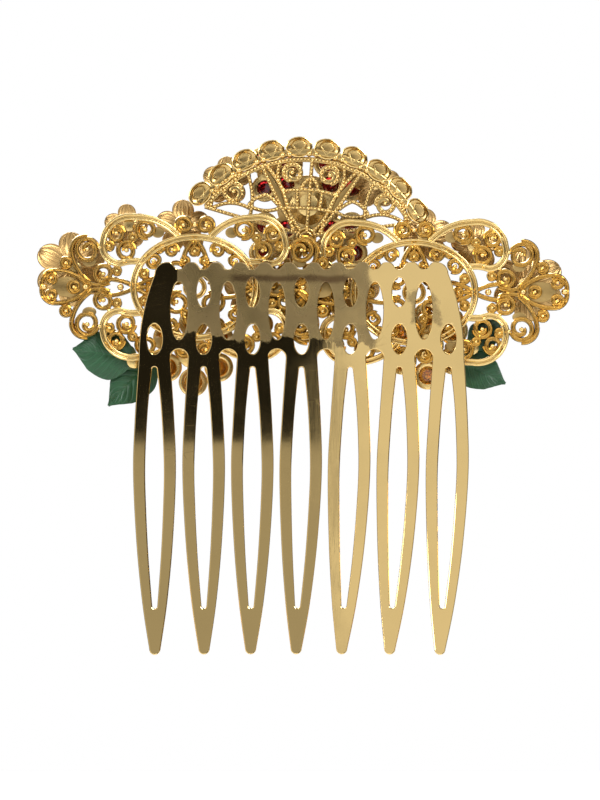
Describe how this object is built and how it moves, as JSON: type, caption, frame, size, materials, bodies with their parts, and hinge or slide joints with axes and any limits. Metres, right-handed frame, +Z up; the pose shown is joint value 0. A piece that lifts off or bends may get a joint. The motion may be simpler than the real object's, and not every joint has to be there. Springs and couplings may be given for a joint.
{
  "type": "decorative hair comb",
  "caption": "Metal hair comb with looped teeth under layered filigree, with flowers, leaves and cut stones on posts in front.",
  "frame": {"origin": "on the plate's outer face, at mid width, level with the roots of the teeth: where the comb grips the hair", "axes": "+Z up from the teeth to the ornament, +X along the width, +Y towards the head; the decorated side faces -Y"},
  "size_m": [0.1068, 0.0222, 0.1035],
  "materials": {
    "comb_gold": "gold-plated brass sheet, polished, with fine scratches and a dull solder stain on the back",
    "filigree_gold": "gold-plated stamped filigree, bright ridges and darker hollows",
    "fan_gold": "gold-plated filigree with milled beading",
    "flower_gold": "satin gold-plated petals with fine flutes",
    "post_gold": "gold-plated posts and studs",
    "setting_metal": "old-gold settings with a greyer plating",
    "solder": "dull solder",
    "leaf_green": "translucent green enamel over a veined stamping",
    "red_crystal": "dark red cut crystal",
    "amber_crystal": "amber cut crystal",
    "flower_crystal": "pale topaz cut crystal"
  },
  "bodies": {
    "root": {"comb_plate": "comb_gold", "filigree_panel_right": "filigree_gold", "filigree_panel_left": "filigree_gold", "filigree_fan": "fan_gold", "solder_joints": "solder", "rose_gallery": "setting_metal", "rose_outer_stones": "red_crystal", "rose_inner_stones": "red_crystal", "rose_centre_stone": "red_crystal", "rose_post": "post_gold", "flower_posts": "post_gold", "leaf_studs": "post_gold", "amber_gallery_right": "setting_metal", "amber_petal_stones_right": "amber_crystal", "amber_centre_stone_right": "amber_crystal", "amber_post_right": "post_gold", "leaf_right_upper": "leaf_green", "leaf_right_lower": "leaf_green", "amber_gallery_left": "setting_metal", "amber_petal_stones_left": "amber_crystal", "amber_centre_stone_left": "amber_crystal", "amber_post_left": "post_gold", "leaf_left_upper": "leaf_green", "leaf_left_lower": "leaf_green", "tip_flower_right": "flower_gold", "tip_flower_right_cup": "setting_metal", "tip_flower_right_stone": "flower_crystal", "tip_flower_left": "flower_gold", "tip_flower_left_cup": "setting_metal", "tip_flower_left_stone": "flower_crystal", "wing_flower_right": "flower_gold", "wing_flower_right_cup": "setting_metal", "wing_flower_right_stone": "flower_crystal", "wing_flower_left": "flower_gold", "wing_flower_left_cup": "setting_metal", "wing_flower_left_stone": "flower_crystal", "mid_flower_right": "flower_gold", "mid_flower_right_cup": "setting_metal", "mid_flower_right_stone": "flower_crystal", "mid_flower_left": "flower_gold", "mid_flower_left_cup": "setting_metal", "mid_flower_left_stone": "flower_crystal", "top_flower_right": "flower_gold", "top_flower_right_cup": "setting_metal", "top_flower_right_stone": "flower_crystal", "top_flower_left": "flower_gold", "top_flower_left_cup": "setting_metal", "top_flower_left_stone": "flower_crystal", "band_flower_right": "flower_gold", "band_flower_right_cup": "setting_metal", "band_flower_right_stone": "flower_crystal", "band_flower_left": "flower_gold", "band_flower_left_cup": "setting_metal", "band_flower_left_stone": "flower_crystal", "band_flower_middle": "flower_gold", "band_flower_middle_cup": "setting_metal", "band_flower_middle_stone": "flower_crystal"}
  },
  "joints": []
}
